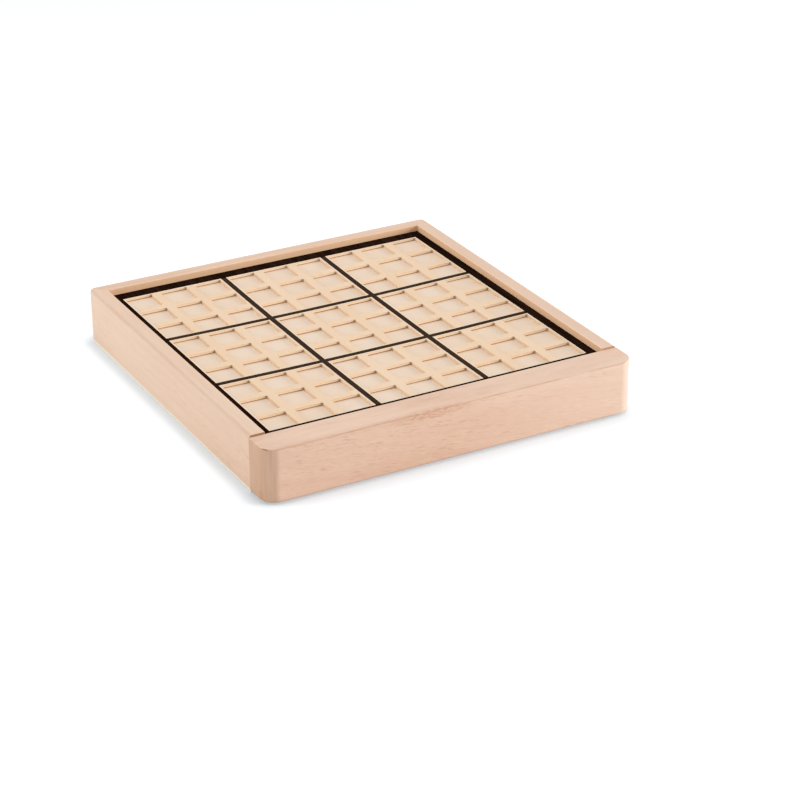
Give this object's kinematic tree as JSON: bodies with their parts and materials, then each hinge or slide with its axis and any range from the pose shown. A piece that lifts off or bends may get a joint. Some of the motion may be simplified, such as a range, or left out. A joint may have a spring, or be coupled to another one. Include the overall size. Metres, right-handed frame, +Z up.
{
  "type": "sudoku board",
  "caption": "Shallow square wooden sudoku box: a recessed grid of square cells with black block lines on top, and a full-width front drawer that stores the number tiles.",
  "frame": {"origin": "centre of the closed box's footprint, on the underside that stands on the table", "axes": "+Z up, -Y the way the drawer pulls out, +X to the right as seen from the drawer front"},
  "size_m": [0.191, 0.2012, 0.028],
  "materials": {
    "beech": "sanded, unvarnished beech",
    "board_ply": "sanded pale plywood",
    "grid_ply": "sanded pale plywood with laser-cut edges",
    "base_ply": "raw pale plywood",
    "drawer_ply": "raw pale plywood",
    "tile_wood": "sanded wood with a printed number",
    "black_paint": "matt black paint film"
  },
  "bodies": {
    "case": {"base_panel": "base_ply", "left_rail": "beech", "right_rail": "beech", "back_rail": "beech", "board_sheet": "board_ply", "grid_bars_across": "grid_ply", "grid_bars_down": "grid_ply", "painted_lines": "black_paint"},
    "drawer": {"drawer_front": "beech", "drawer_left_side": "drawer_ply", "drawer_right_side": "drawer_ply", "drawer_back": "drawer_ply", "drawer_bottom": "base_ply", "tiles_1": "tile_wood", "tiles_2": "tile_wood", "tiles_3": "tile_wood", "tiles_4": "tile_wood", "tiles_5": "tile_wood", "tiles_6": "tile_wood", "tiles_7": "tile_wood", "tiles_8": "tile_wood", "tiles_9": "tile_wood"}
  },
  "joints": [
    {"name": "drawer_slide", "type": "slide", "parent": "case", "child": "drawer", "axis": [0, -1, 0], "range_m": [0, 0.15]}
  ]
}
